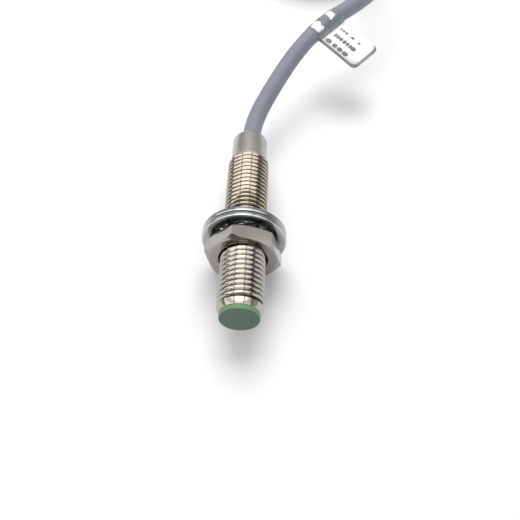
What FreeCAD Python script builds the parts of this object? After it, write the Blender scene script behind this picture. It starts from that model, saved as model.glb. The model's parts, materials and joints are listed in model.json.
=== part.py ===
"""Cylindrical inductive proximity sensor, M8 x 1, with its nut, two lock washers and cable.

The origin is the centre of the sensing face. +Y runs along the barrel to the cable, and +Z is up.
The sensor lies on its washers, so the surface under it is one washer radius below the axis.
Lengths are in millimetres and angles in degrees.
"""

import FreeCAD, Part
import math
import os

import Sketcher
from FreeCAD import Placement, Rotation, Vector

SIZES = {
    # barrel, its thread and its smooth tail
    "barrel_front": 1.0, "body_length": 42.5, "crest_radius": 3.95, "root_radius": 3.39,
    "pitch": 1.0, "groove_half_at_root": 0.085, "groove_half_at_crest": 0.41,
    "front_chamfer": 0.5, "front_land_end": 2.15, "relief_radius": 3.3, "relief_slope": 0.1,
    "relief_width": 0.6, "thread_phase": 216.0, "thread_end": 35.3,
    "tail_start": 36.0, "tail_radius": 3.5, "tail_rounding": 0.9,
    "bore_radius": 3.0, "bore_end": 39.5, "exit_radius": 1.98,
    # sensing end
    "cap_radius": 3.38, "cap_wall": 0.6, "cap_rounding": 0.2, "skirt_radius": 2.95,
    "skirt_bore": 2.55, "skirt_end": 5.0,
    "core_radius": 2.5, "core_wall_radius": 2.1, "core_post_radius": 0.8, "core_floor": 2.8,
    "core_end": 3.4, "bobbin_bore": 0.85, "bobbin_tube": 1.1, "bobbin_flange": 2.0,
    "bobbin_front": 0.7, "winding_front": 0.9, "winding_radius": 1.9, "winding_end": 2.5,
    "bobbin_end": 2.7, "coil_lead_x": 1.45, "coil_lead_radius": 0.12, "lead_hole_radius": 0.2,
    "coil_lead_end": 6.2, "carrier_end": 5.4, "slot_start": 4.2,
    # electronics
    "board_width": 4.8, "board_thick": 0.6, "board_front": 4.3, "board_length": 22.7,
    "slot_gap": 0.02, "resin_radius": 2.95, "resin_start": 5.5, "resin_end": 36.4,
    "wire_radius": 0.55, "wire_start": 25.4, "wire_x": 0.95,
    # cable entry
    "cable_radius": 1.85, "cable_start": 36.6, "ring_radius": 2.8, "ring_start": 36.9,
    "ring_end": 37.8, "bush_radius": 2.95, "bush_start": 37.9, "bush_end": 39.45,
    # nut
    "nut_flats": 12.0, "nut_front": 12.0, "nut_thick": 2.8, "nut_angle": 15.6,
    "nut_chamfer": 0.55, "nut_bore": 3.46, "countersink_radius": 4.39, "countersink_depth": 0.54,
    "nut_thread_radius": 4.02,
    "nut_groove_half_out": 0.1, "nut_groove_half_in": 0.46, "thread_clear": 0.06,
    "nut_thread_offset": 8.5, "nut_thread_turns": 6.0, "nut_corner_trim": 0.05,
    # lock washers
    "washer_radius": 7.5, "washer_thick": 0.85, "washer_bore": 5.4, "tooth_tip": 4.15,
    "tooth_width": 1.7, "tooth_twist": 12.0, "tooth_count": 10.0, "tooth_first": 10.0,
    "tooth_overlap": 0.12, "front_washer_at": 15.95, "rear_washer_at": 17.03,
    # label on the cable
    "film_thick": 0.12, "film_length": 8.7, "flag_reach": 10.8, "flag_thick": 0.25,
    "flag_corner": 1.3, "flag_gap": 0.25,
    # put-away cable, and the leads at its end
    "hank_x": 15.55, "hank_near": 131.7, "hank_straight": 16.4, "hank_turn": 13.0,
    "hank_columns": 2.0, "hank_layers": 5.0, "hank_rounding": 1.665, "tie_thick": 0.5,
    "tie_width": 2.6, "tie_head": 4.0, "tie_head_depth": 2.0,
    "lead_radius": 0.55, "tip_radius": 0.3, "tip_length": 4.0,
    # how far a cutting tool runs past what it cuts
    "past": 0.1,
}

ARC_SHARE = 0.45  # the share of a run that the arc at each of its ends takes

# The cable's route, from inside the barrel to where it joins the hank.
CABLE_ROUTE = [
    (0.0, 36.6, 0.0), (0.0, 42.2, 0.0), (0.8, 49.4, 0.6), (4.5, 57.4, 3.0), (9.3, 66.0, 5.8),
    (15.4, 74.7, 7.5), (24.4, 82.5, 8.7), (30.4, 90.6, 9.4), (31.7, 103.0, 9.65),
    (30.7, 114.0, 9.6), (30.45, 124.5, 9.65),
]
LABEL_BEND = 5  # the route's point that the label is wrapped round
FLAG_DIRECTION = Vector(8.0, -5.2, -2.1)

# The jacket's cut end and the three stripped leads, inside the hank's loop.
JACKET_END = [(5.0, 137.2, -5.15), (7.1, 133.4, -5.2), (10.4, 131.0, -5.4)]
LEADS = {
    "lead_brown": [(9.8, 130.7, -5.9), (13.4, 128.2, -6.9), (17.0, 127.2, -6.9), (20.2, 129.0, -6.9)],
    "lead_blue": [(10.0, 131.2, -4.75), (13.9, 129.9, -6.6), (17.9, 131.0, -6.9), (20.6, 134.2, -6.9)],
    "lead_black": [(10.4, 131.8, -5.9), (13.1, 133.0, -6.9), (15.5, 135.8, -6.9), (16.0, 139.7, -6.9)],
}

# Parts on the board: name, size along X, Y and Z, then centre in X, start in Y, and side.
BOARD_PARTS = {
    "oscillator_chip": [(3.0, 3.0, 1.0, 0.0, 9.0, 1)],
    "output_transistor": [(2.9, 1.3, 1.0, 0.0, 18.0, 1)],
    "protection_diode": [(1.6, 2.8, 1.1, 0.0, 20.8, -1)],
    "resistors": [(0.8, 1.6, 0.45, x, y, side) for x, y, side in (
        (-1.5, 13.6, 1), (0.0, 13.6, 1), (1.5, 13.6, 1), (-1.4, 9.4, -1), (1.4, 9.4, -1))],
    "capacitors": [(1.25, 2.0, 0.9, x, y, side) for x, y, side in (
        (-1.4, 15.7, -1), (1.4, 15.7, -1), (0.0, 12.2, -1))],
}

ALONG_Y = Rotation(Vector(1, 0, 0), -90)

doc = FreeCAD.newDocument("proximity_sensor")
sheet = doc.addObject("Spreadsheet::Sheet", "sizes")
nodes = []


def fill_sheet():
    """Writes each driving dimension into the sheet as a plain number with its alias."""
    for row, (alias, number) in enumerate(SIZES.items(), start=1):
        sheet.set(f"A{row}", alias)
        sheet.set(f"B{row}", str(number))
        sheet.setAlias(f"B{row}", alias)
    doc.recompute()


def size(alias):
    """The number that a cell of the sheet holds."""
    return float(getattr(sheet, alias))


def bound(formula):
    """A formula of cell names as an expression that reads the sheet."""
    return " ".join(f"<<sizes>>.{word}" if word in SIZES else word for word in formula.split())


def bind(target, **formulas):
    """Binds properties of target to formulas. A double underscore stands for a dot."""
    for name, formula in formulas.items():
        target.setExpression(name.replace("__", "."), bound(formula))
    return target


def node(target, label):
    """Makes target a sub-part, with the name that its file takes."""
    target.Label = label
    nodes.append(target)
    return target


# ---- shared shapes ----


def turned(name, corners):
    """A body turned about the sensor's axis. Each corner is two cell names, radius and distance."""
    body = doc.addObject("PartDesign::Body", name)
    sketch = body.newObject("Sketcher::SketchObject", f"{name}_outline")
    plane = next(f for f in body.Origin.OriginFeatures if f.Role == "XY_Plane")
    sketch.AttachmentSupport = [(plane, "")]
    sketch.MapMode = "FlatFace"
    close_outline(sketch, corners)
    turn = body.newObject("PartDesign::Revolution", f"{name}_turn")
    turn.Profile = sketch
    turn.ReferenceAxis = (sketch, ["V_Axis"])
    turn.Angle = 360
    doc.recompute()
    return body


def close_outline(sketch, corners):
    """Draws straight edges round the corners, and ties each corner to its cells."""
    spots = [Vector(size(r) if r else 0, size(y) if y else 0, 0) for r, y in corners]
    count = len(corners)
    for i in range(count):
        sketch.addGeometry(Part.LineSegment(spots[i], spots[(i + 1) % count]), False)
    for i, (r, y) in enumerate(corners):
        sketch.addConstraint(Sketcher.Constraint("Coincident", i, 2, (i + 1) % count, 1))
        for kind, alias, axis, here in (("DistanceX", r, -2, spots[i].x), ("DistanceY", y, -1, spots[i].y)):
            if not alias:
                sketch.addConstraint(Sketcher.Constraint("PointOnObject", i, 1, axis))
                continue
            at = sketch.addConstraint(Sketcher.Constraint(kind, -1, 1, i, 1, here))
            sketch.setExpression(f"Constraints[{at}]", bound(alias))


def round_edge(body, radius_cell, edge_radius, edge_y):
    """Rounds the body's circular edge of that radius and distance along the axis."""
    base = body.Tip
    names = [
        f"Edge{i}" for i, edge in enumerate(base.Shape.Edges, start=1)
        if isinstance(edge.Curve, Part.Circle)
        and abs(edge.Curve.Radius - size(edge_radius)) < 0.01
        and abs(edge.Curve.Center.y - edge_y) < 0.01
    ]
    fillet = body.newObject("PartDesign::Fillet", f"{body.Name}_rounding")
    fillet.Base = (base, names)
    bind(fillet, Radius=radius_cell)
    doc.recompute()
    return fillet


def cylinder(name, radius, start, length, x="0", z="0"):
    """A cylinder along +Y from start. All are formulas."""
    made = doc.addObject("Part::Cylinder", name)
    made.Placement = Placement(Vector(0, 0, 0), ALONG_Y)
    return bind(made, Radius=radius, Height=length, Placement__Base__x=x,
                Placement__Base__y=start, Placement__Base__z=z)


def block(name, wide, long, tall, x, y, z):
    """A box centred on x, from y and z. All are formulas."""
    made = doc.addObject("Part::Box", name)
    return bind(made, Length=wide, Width=long, Height=tall,
                Placement__Base__x=f"{x} - ( {wide} ) / 2", Placement__Base__y=y, Placement__Base__z=z)


def cut(name, base, *tools):
    """base without the tools."""
    tool = tools[0] if len(tools) == 1 else together(f"{name}_tools", tools)
    made = doc.addObject("Part::Cut", name)
    made.Base, made.Tool = base, tool
    return made


def together(name, shapes):
    """One object that holds several solids side by side."""
    made = doc.addObject("Part::Compound", name)
    made.Links = list(shapes)
    return made


def thread_tool(name, start, turns, inner, half_inner, outer, half_outer):
    """The solid of a helical groove: inner and outer radius, each with half the groove's width."""
    turn = Rotation(Vector(0, 1, 0), size("thread_phase"))
    helix = doc.addObject("Part::Helix", f"{name}_line")
    helix.SegmentLength = 1
    helix.Radius = (inner + outer) / 2
    helix.Height = turns * size("pitch")
    bind(helix, Pitch="pitch")
    helix.Placement = Placement(Vector(0, start, 0), turn.multiply(ALONG_Y))
    section = doc.addObject("Sketcher::SketchObject", f"{name}_section")
    spots = [Vector(inner, -half_inner, 0), Vector(inner, half_inner, 0),
             Vector(outer, half_outer, 0), Vector(outer, -half_outer, 0)]
    for i in range(4):
        section.addGeometry(Part.LineSegment(spots[i], spots[(i + 1) % 4]), False)
    section.Placement = Placement(Vector(0, start, 0), turn)
    doc.recompute()
    sweep = doc.addObject("Part::Sweep", name)
    sweep.Sections = [section]
    sweep.Spine = (helix, [f"Edge{i + 1}" for i in range(len(helix.Shape.Edges))])
    sweep.Solid = True
    sweep.Frenet = True
    return sweep


# ---- barrel and sensing end ----


def make_barrel():
    """Brass barrel: bored from the front, threaded outside, with a smooth tail that closes on the cable."""
    body = turned("barrel_blank", [
        ("bore_radius", "barrel_front"), ("chamfer_radius", "barrel_front"),
        ("crest_radius", "chamfer_end"), ("crest_radius", "front_land_end"),
        ("relief_radius", "front_relief_start"), ("relief_radius", "front_relief_end"),
        ("crest_radius", "thread_start"), ("crest_radius", "thread_end"),
        ("relief_radius", "rear_relief_start"), ("relief_radius", "rear_relief_end"),
        ("tail_radius", "tail_start"), ("tail_radius", "body_length"),
        ("exit_radius", "body_length"), ("exit_radius", "bore_end"), ("bore_radius", "bore_end"),
    ])
    round_edge(body, "tail_rounding", "tail_radius", size("body_length"))
    start = (size("front_relief_start") + size("front_relief_end")) / 2
    turns = (size("rear_relief_start") + size("rear_relief_end")) / 2 - start
    over = size("thread_clear")
    slope = (size("groove_half_at_crest") - size("groove_half_at_root")) / (
        size("crest_radius") - size("root_radius"))
    tool = thread_tool("barrel_thread", start, turns, size("root_radius"), size("groove_half_at_root"),
                       size("crest_radius") + over, size("groove_half_at_crest") + over * slope)
    node(cut("threaded_barrel", body, tool), "threaded_barrel")


def make_sensing_end():
    """Plastic cap, ferrite pot core, bobbin and winding, and the carrier behind them."""
    cap = turned("sensing_cap", [
        ("", ""), ("cap_radius", ""), ("cap_radius", "barrel_front"),
        ("skirt_radius", "barrel_front"), ("skirt_radius", "skirt_end"),
        ("skirt_bore", "skirt_end"), ("skirt_bore", "cap_wall"), ("", "cap_wall"),
    ])
    round_edge(cap, "cap_rounding", "cap_radius", 0)
    node(cap, "sensing_cap")
    core = turned("pot_core", [
        ("", "cap_wall"), ("core_post_radius", "cap_wall"), ("core_post_radius", "core_floor"),
        ("core_wall_radius", "core_floor"), ("core_wall_radius", "cap_wall"),
        ("core_radius", "cap_wall"), ("core_radius", "core_end"), ("", "core_end"),
    ])
    holes = lead_pair("core_hole", "lead_hole_radius", "core_floor - past",
                      "core_end - core_floor + 2 * past")
    node(cut("ferrite_core", core, *holes), "ferrite_core")
    node(turned("coil_bobbin", [
        ("bobbin_bore", "bobbin_front"), ("bobbin_flange", "bobbin_front"),
        ("bobbin_flange", "winding_front"), ("bobbin_tube", "winding_front"),
        ("bobbin_tube", "winding_end"), ("bobbin_flange", "winding_end"),
        ("bobbin_flange", "bobbin_end"), ("bobbin_bore", "bobbin_end"),
    ]), "coil_bobbin")
    node(turned("sensing_coil", [
        ("bobbin_tube", "winding_front"), ("winding_radius", "winding_front"),
        ("winding_radius", "winding_end"), ("bobbin_tube", "winding_end"),
    ]), "sensing_coil")
    leads = lead_pair("coil_lead", "coil_lead_radius", "bobbin_end", "coil_lead_end - bobbin_end")
    node(together("coil_leads", leads), "coil_leads")
    disc = cylinder("carrier_disc", "core_radius", "core_end", "carrier_end - core_end")
    slot = block("carrier_slot", "board_width + 2 * slot_gap", "carrier_end - slot_start + past",
                 "board_thick + 2 * slot_gap", "0", "slot_start", "- board_thick / 2 - slot_gap")
    holes = lead_pair("carrier_hole", "lead_hole_radius", "core_end - past",
                      "carrier_end - core_end + 2 * past")
    node(cut("board_carrier", disc, slot, *holes), "board_carrier")


def lead_pair(name, radius, start, length):
    """Two cylinders where the coil's leads run, just above the board."""
    height = "board_thick / 2 + coil_lead_radius"
    return [cylinder(f"{name}_{side}", radius, start, length, f"{sign} coil_lead_x", height)
            for side, sign in (("left", "-"), ("right", ""))]


# ---- electronics, resin and cable entry ----


def make_electronics():
    """Circuit board with its parts, and the three wires soldered to its end."""
    board = node(block("board_blank", "board_width", "board_length", "board_thick", "0",
                       "board_front", "- board_thick / 2"), "circuit_board")
    filled = [board]
    for label, boxes in BOARD_PARTS.items():
        made = []
        for i, (wide, long, tall, x, y, side) in enumerate(boxes):
            z = "board_thick / 2" if side > 0 else f"- board_thick / 2 - {tall}"
            made.append(block(f"{label}_{i + 1}", str(wide), str(long), str(tall), str(x), str(y), z))
        part = made[0] if len(made) == 1 else together(f"{label}_group", made)
        filled.append(node(part, label))
    above = "board_thick / 2 + wire_radius"
    for label, x, z in (("wire_brown", "- wire_x", above), ("wire_black", "wire_x", above),
                        ("wire_blue", "0", f"- ( {above} )")):
        length = "cable_start - wire_start"
        filled.append(node(cylinder(f"{label}_core", "wire_radius", "wire_start", length, x, z), label))
    return filled


def make_resin(filled):
    """Potting resin that fills the barrel round the board, its parts and the wires."""
    blank = cylinder("resin_blank", "resin_radius", "resin_start", "resin_end - resin_start")
    leads = lead_pair("resin_hole", "coil_lead_radius", "resin_start - past",
                      "coil_lead_end - resin_start + past")
    current = cut("resin_less_leads", blank, *leads)
    for i, thing in enumerate(filled):
        current = cut(f"resin_less_{i + 1}", current, thing)
    node(current, "potting_resin")


def make_cable_entry():
    """Crimp ring on the jacket, and the rubber bush behind the barrel's shoulder."""
    for label, start, end, outer in (("strain_relief_ring", "ring_start", "ring_end", "ring_radius"),
                                     ("cable_bush", "bush_start", "bush_end", "bush_radius")):
        node(turned(f"{label}_body", [("cable_radius", start), (outer, start), (outer, end),
                                      ("cable_radius", end)]), label)


# ---- nut and washers ----


def make_nut():
    """Hexagon nut, chamfered and countersunk on both faces, with a thread that fits the barrel."""
    prism = doc.addObject("Part::Prism", "nut_prism")
    prism.Polygon = 6
    bind(prism, Circumradius="nut_flats / ( 2 * cos( 30 deg ) )", Height="nut_thick")
    prism.Placement = Placement(Vector(), Rotation(Vector(0, 1, 0), size("nut_angle")).multiply(ALONG_Y))
    bind(prism, Placement__Base__y="nut_front")
    shell = turned("nut_blank", [
        ("nut_bore", "countersink_front_end"), ("countersink_radius", "nut_front"),
        ("nut_face_radius", "nut_front"), ("nut_corner_radius", "nut_chamfer_front"),
        ("nut_corner_radius", "nut_chamfer_rear"), ("nut_face_radius", "nut_rear"),
        ("countersink_radius", "nut_rear"), ("nut_bore", "countersink_rear_end"),
    ])
    hexagon = doc.addObject("Part::Common", "nut_hexagon")
    hexagon.Base, hexagon.Tool = prism, shell
    barrel_start = (size("front_relief_start") + size("front_relief_end")) / 2
    start = barrel_start + size("nut_thread_offset") * size("pitch")
    tool = thread_tool("nut_thread", start, size("nut_thread_turns"),
                       size("nut_bore") - size("thread_clear"), size("nut_groove_half_in"),
                       size("nut_thread_radius"), size("nut_groove_half_out"))
    node(cut("mounting_nut", hexagon, tool), "mounting_nut")


def make_washer(label, front):
    """Internal-tooth lock washer: a flat ring whose teeth are twisted about their own length."""
    ring = cylinder(f"{label}_disc", "washer_radius", front, "washer_thick")
    bore = cylinder(f"{label}_bore", "washer_bore", f"{front} - past", "washer_thick + 2 * past")
    flat = cut(f"{label}_ring", ring, bore)
    teeth = []
    count = int(size("tooth_count"))
    middle = size(front) + size("washer_thick") / 2
    for i in range(count):
        tooth = doc.addObject("Part::Box", f"{label}_tooth_{i + 1}")
        bind(tooth, Length="tooth_width", Width="washer_thick",
             Height="washer_bore - tooth_tip + tooth_overlap")
        centre = Placement(Vector(-size("tooth_width") / 2, -size("washer_thick") / 2, size("tooth_tip")),
                           Rotation())
        twist = Placement(Vector(0, 0, 0), Rotation(Vector(0, 0, 1), size("tooth_twist")))
        round_axis = Rotation(Vector(0, 1, 0), size("tooth_first") + 360 * i / count)
        tooth.Placement = Placement(Vector(0, middle, 0), round_axis).multiply(twist).multiply(centre)
        teeth.append(tooth)
    joined = doc.addObject("Part::MultiFuse", f"{label}_joined")
    joined.Shapes = [flat, *teeth]
    joined.Refine = True
    node(joined, label)


# ---- cable, label and hank ----


def rounded_path(points):
    """A wire of straight runs and tangent arcs, each arc as large as its two runs allow."""
    spots = [Vector(*p) for p in points]
    edges, start = [], spots[0]
    for before, here, after in zip(spots, spots[1:], spots[2:]):
        back, ahead = (before - here).normalize(), (after - here).normalize()
        half = (math.pi - back.getAngle(ahead)) / 2
        reach = ARC_SHARE * min(here.distanceToPoint(before), here.distanceToPoint(after))
        radius = reach / math.tan(half)
        first, last = here + back * reach, here + ahead * reach
        towards_centre = (back + ahead).normalize()
        middle = here + towards_centre * (radius / math.cos(half) - radius)
        edges.append(Part.LineSegment(start, first).toShape())
        edges.append(Part.Arc(first, middle, last).toShape())
        print(f"  turn {math.degrees(2 * half):5.1f} degrees, radius {radius:6.1f}")
        start = last
    edges.append(Part.LineSegment(start, spots[-1]).toShape())
    return Part.Wire(edges)


def tube_shape(path, radius):
    """A solid of round section along the path."""
    first = path.Edges[0]
    start, direction = first.valueAt(first.FirstParameter), first.tangentAt(first.FirstParameter)
    ring = Part.Wire(Part.makeCircle(radius, start, direction))
    made = path.makePipeShell([ring], True, True)
    share = made.Volume / (math.pi * radius ** 2 * path.Length)
    print(f"  tube {path.Length:.1f} mm long, volume is {share:.3f} of section times length")
    return made


def feature(name, shape):
    """A document object that holds a shape."""
    made = doc.addObject("Part::Feature", name)
    made.Shape = shape
    return made


def make_cable():
    """The cable from inside the barrel to the hank, and the jacket's cut end in the hank's loop."""
    print("cable_run")
    node(feature("cable_tube", tube_shape(rounded_path(CABLE_ROUTE), size("cable_radius"))), "cable_run")
    print("cable_end")
    node(feature("end_tube", tube_shape(rounded_path(JACKET_END), size("cable_radius"))), "cable_end")


def make_leads():
    """Three insulated leads that fan out on the surface, each with a stripped and tinned tip."""
    tips = []
    for label, points in LEADS.items():
        print(label)
        node(feature(f"{label}_tube", tube_shape(rounded_path(points), size("lead_radius"))), label)
        last, before = Vector(*points[-1]), Vector(*points[-2])
        ahead = (last - before).normalize()
        tips.append(feature(f"{label}_tip", Part.makeCylinder(
            size("tip_radius"), size("tip_length"), last, ahead)))
    node(together("tip_group", tips), "tinned_tips")


def make_label():
    """Clear film wrapped round the cable, and the printed flag that it holds together."""
    before, here, after = (Vector(*CABLE_ROUTE[LABEL_BEND + i]) for i in (-1, 0, 1))
    along = (after - before).normalize()
    bend = rounded_path([before, here, after])
    arc = bend.Edges[1]
    half = size("film_length") / 2
    ends = [arc.Curve.parameterAtDistance(arc.Length / 2 + shift, arc.FirstParameter)
            for shift in (-half, 0, half)]
    piece = Part.Wire(Part.Arc(*[arc.valueAt(p) for p in ends]).toShape())
    outer = tube_shape(piece, size("cable_radius") + size("film_thick"))
    inner = tube_shape(piece, size("cable_radius"))
    node(feature("film_sleeve", outer.cut(inner)), "label_film")
    sideways = (FLAG_DIRECTION - along * FLAG_DIRECTION.dot(along)).normalize()
    upward = along.cross(sideways)
    flag = doc.addObject("Part::Box", "flag_blank")
    bind(flag, Length="film_length", Width="flag_reach", Height="flag_thick")
    outside = size("cable_radius") + size("film_thick") + size("flag_gap")
    corner = arc.valueAt(ends[1]) - along * half + sideways * outside - upward * (size("flag_thick") / 2)
    flag.Placement = Placement(corner, Rotation(along, sideways, upward, "XYZ"))
    doc.recompute()
    far = size("flag_reach") / 2
    upright = [
        i for i, edge in enumerate(flag.Shape.Edges, start=1)
        if abs(edge.tangentAt(edge.FirstParameter).dot(upward)) > 0.99
        and (edge.CenterOfMass - corner).dot(sideways) > far
    ]
    rounded = doc.addObject("Part::Fillet", "flag_rounded")
    rounded.Base = flag
    rounded.Edges = [(i, size("flag_corner"), size("flag_corner")) for i in upright]
    node(rounded, "label_flag")


def loop_face(half_width, x, near, straight, z):
    """A flat face with two straight sides along Y and a half circle at each end."""
    far = near + straight
    left, right = x - half_width, x + half_width
    return Part.Face(Part.Wire([
        Part.LineSegment(Vector(right, near, z), Vector(right, far, z)).toShape(),
        Part.Arc(Vector(right, far, z), Vector(x, far + half_width, z), Vector(left, far, z)).toShape(),
        Part.LineSegment(Vector(left, far, z), Vector(left, near, z)).toShape(),
        Part.Arc(Vector(left, near, z), Vector(x, near - half_width, z), Vector(right, near, z)).toShape(),
    ]))


def make_hank():
    """The put-away length as one closed ring of its outer shape, and the two ties that hold it."""
    thick = 2 * size("cable_radius")
    wide, tall = size("hank_columns") * thick, size("hank_layers") * thick
    x, near, straight = size("hank_x"), size("hank_near"), size("hank_straight")
    base = size("tie_thick") - size("washer_radius")
    turn = size("hank_turn")
    solid = loop_face(turn + wide / 2, x, near, straight, base).cut(
        loop_face(turn - wide / 2, x, near, straight, base)).extrude(Vector(0, 0, tall))
    rims = [e for e in solid.Edges if abs(e.BoundBox.ZLength) < 0.01]
    node(feature("hank_ring", solid.makeFillet(size("hank_rounding"), rims)), "cable_hank")
    band, deep = size("tie_thick"), size("tie_head_depth")
    bands = []
    for side, sign in (("left", -1), ("right", 1)):
        middle = Vector(x + sign * turn, near + straight / 2, base + tall / 2)
        outer = centred_box(middle, wide + 2 * band, size("tie_width"), tall + 2 * band)
        inner = centred_box(middle, wide, size("tie_width") + size("past"), tall)
        head_at = middle + Vector(-sign * (wide / 2 + band + deep / 2), 0, tall / 4)
        head = centred_box(head_at, deep, size("tie_head"), size("tie_head"))
        bands.append(feature(f"tie_{side}", outer.cut(inner).fuse(head).removeSplitter()))
    node(together("ties", bands), "cable_ties")


def centred_box(middle, wide, long, tall):
    """A box about its middle."""
    return Part.makeBox(wide, long, tall, middle - Vector(wide, long, tall) / 2)


# ---- the whole sensor ----


def derive():
    """Adds the sizes that follow from the others."""
    s = SIZES
    s["chamfer_radius"] = s["crest_radius"] - s["front_chamfer"]
    s["chamfer_end"] = s["barrel_front"] + s["front_chamfer"]
    s["front_relief_start"] = s["front_land_end"] + s["relief_slope"]
    s["front_relief_end"] = s["front_land_end"] + s["relief_width"]
    s["thread_start"] = s["front_relief_end"] + s["relief_slope"]
    s["rear_relief_start"] = s["thread_end"] + s["relief_slope"]
    s["rear_relief_end"] = s["tail_start"] - s["relief_slope"]
    s["nut_rear"] = s["nut_front"] + s["nut_thick"]
    s["countersink_front_end"] = s["nut_front"] + s["countersink_depth"]
    s["countersink_rear_end"] = s["nut_rear"] - s["countersink_depth"]
    s["nut_corner_radius"] = s["nut_flats"] / math.sqrt(3) + s["nut_corner_trim"]
    s["nut_face_radius"] = s["nut_corner_radius"] - 2 * s["nut_chamfer"]
    s["nut_chamfer_front"] = s["nut_front"] + s["nut_chamfer"]
    s["nut_chamfer_rear"] = s["nut_rear"] - s["nut_chamfer"]


def check_and_write():
    """Stops on any failed object or bad shape, then writes each sub-part to its own file."""
    doc.recompute()
    failed = [o.Name for o in doc.Objects if {"Invalid", "Error"} & set(o.State)]
    bad = [n.Label for n in nodes if n.Shape.isNull() or not n.Shape.isValid() or not n.Shape.Solids]
    if failed or bad:
        raise SystemExit(f"failed objects {failed}, bad shapes {bad}")
    os.makedirs("parts", exist_ok=True)
    for n in nodes:
        n.Shape.exportStep(f"parts/{n.Label}.step")
        box = n.Shape.BoundBox
        print(f"{n.Label:20s} solids {len(n.Shape.Solids)} volume {n.Shape.Volume:9.2f} "
              f"x {box.XMin:7.2f} {box.XMax:7.2f} y {box.YMin:7.2f} {box.YMax:7.2f} "
              f"z {box.ZMin:7.2f} {box.ZMax:7.2f}")
    print(f"{len(nodes)} nodes")


derive()
fill_sheet()
make_barrel()
make_sensing_end()
make_resin(make_electronics())
make_cable_entry()
make_nut()
make_washer("front_lock_washer", "front_washer_at")
make_washer("rear_lock_washer", "rear_washer_at")
make_cable()
make_label()
make_hank()
make_leads()
check_and_write()
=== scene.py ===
"""Looks of an M8 inductive proximity sensor lying on a pale surface.

Everything is built in metres, in the CAD frame: the origin is the centre of the sensing face,
+Y runs along the barrel to the cable, and +Z is up. The constants are in millimetres.
"""

import json
import math
import random

import bmesh
import bpy
from mathutils import Matrix, Vector


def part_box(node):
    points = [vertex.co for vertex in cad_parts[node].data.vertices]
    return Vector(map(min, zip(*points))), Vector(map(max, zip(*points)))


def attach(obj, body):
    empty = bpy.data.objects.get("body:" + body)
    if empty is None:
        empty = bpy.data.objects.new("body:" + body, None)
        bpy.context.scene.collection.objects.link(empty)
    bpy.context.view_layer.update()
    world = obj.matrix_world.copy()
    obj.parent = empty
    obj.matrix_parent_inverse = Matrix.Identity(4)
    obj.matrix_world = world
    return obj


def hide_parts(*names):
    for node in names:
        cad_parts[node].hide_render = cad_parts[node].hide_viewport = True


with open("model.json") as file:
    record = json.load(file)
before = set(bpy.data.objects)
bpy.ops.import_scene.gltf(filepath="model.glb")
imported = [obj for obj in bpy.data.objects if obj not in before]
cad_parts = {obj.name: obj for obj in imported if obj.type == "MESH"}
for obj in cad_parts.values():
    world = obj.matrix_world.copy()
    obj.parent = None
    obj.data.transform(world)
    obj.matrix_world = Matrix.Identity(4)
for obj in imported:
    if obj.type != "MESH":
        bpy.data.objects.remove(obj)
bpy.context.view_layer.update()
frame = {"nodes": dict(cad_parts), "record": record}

MM = 0.001
NODES = frame["nodes"]

# ---- sizes that the looks share, in millimetres ----

AXIS_HEIGHT = 7.5
CABLE_RADIUS = 1.85

# The barrel: its M8 x 1 thread, then its tail, then outlines as radius and place along Y.
PITCH, THREAD_ZERO = 1.0, 1.65
CREST, ROOT, RELIEF = 3.95, 3.42, 3.3
THREAD_FROM, THREAD_TO = 2.45, 35.62
TAIL_RADIUS, TAIL_END, TAIL_ROUNDING = 3.5, 42.5, 0.9
FRONT_OF_BARREL = [(3.0, 1.0), (3.42, 1.0), (3.50, 1.05), (3.88, 1.75), (3.95, 1.92), (3.95, 2.05),
                   (3.90, 2.1), (RELIEF, 2.16)]
TAIL = [(RELIEF, THREAD_TO), (RELIEF, 35.85), (TAIL_RADIUS - 0.05, 35.88), (TAIL_RADIUS, 35.95),
        (TAIL_RADIUS, 36.1), (TAIL_RADIUS, 38.8)]
BORE = [(1.98, TAIL_END), (1.98, 39.5), (3.0, 39.5)]
# How steeply the crests rise at the thread's two ends, in radius for each unit along Y.
RUN_OUT = 2.5
# One groove and crest of the thread: share of the pitch, then share of the thread's depth.
THREAD_SHAPE = ((0.0, 0.0), (0.05, 0.02), (0.10, 0.09), (0.22, 0.40), (0.34, 0.74), (0.41, 0.91),
                (0.5, 1.0), (0.59, 0.91), (0.66, 0.74), (0.78, 0.40), (0.90, 0.09), (0.95, 0.02))
BARREL_STEPS, WELD = 80, 0.002
# Painted shade in the thread's roots fades out between these heights above the root. It reaches
# further up at the sides, by the side number below for each square millimetre of x, and by the rear
# number below past REAR_PART along Y.
PAINTED_ROOT_SHADE_EDGE = (0.02, 0.08)
SIDE_PAINTED_ROOT_SHADE, REAR_PAINTED_ROOT_SHADE = 0.0155, 0.11
FRONT_LAND_END, REAR_PART = (2.06, 2.1), (15.0, 21.0)

# The lock washers: one profile, and twisted teeth that reach inwards from its bore.
WASHER_RADIUS, WASHER_BORE, WASHER_THICK, WASHER_EDGE = 7.5, 5.4, 0.85, 0.2
WASHER_STEPS = 144
TOOTH_TIP, TOOTH_WIDTH, TOOTH_COUNT, TOOTH_TWIST, TOOTH_FIRST = 4.15, 1.7, 10, 12.0, 10.0
# A tooth's sections: distance from the axis and half the width. One thickness serves all.
TOOTH_SECTIONS = ((WASHER_BORE + 0.15, TOOTH_WIDTH / 2),
                  ((WASHER_BORE + TOOTH_TIP) / 2, TOOTH_WIDTH * 0.47),
                  (TOOTH_TIP + 0.02, TOOTH_WIDTH * 0.42))
TOOTH_HALF_THICK = WASHER_THICK * 0.48

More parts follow.
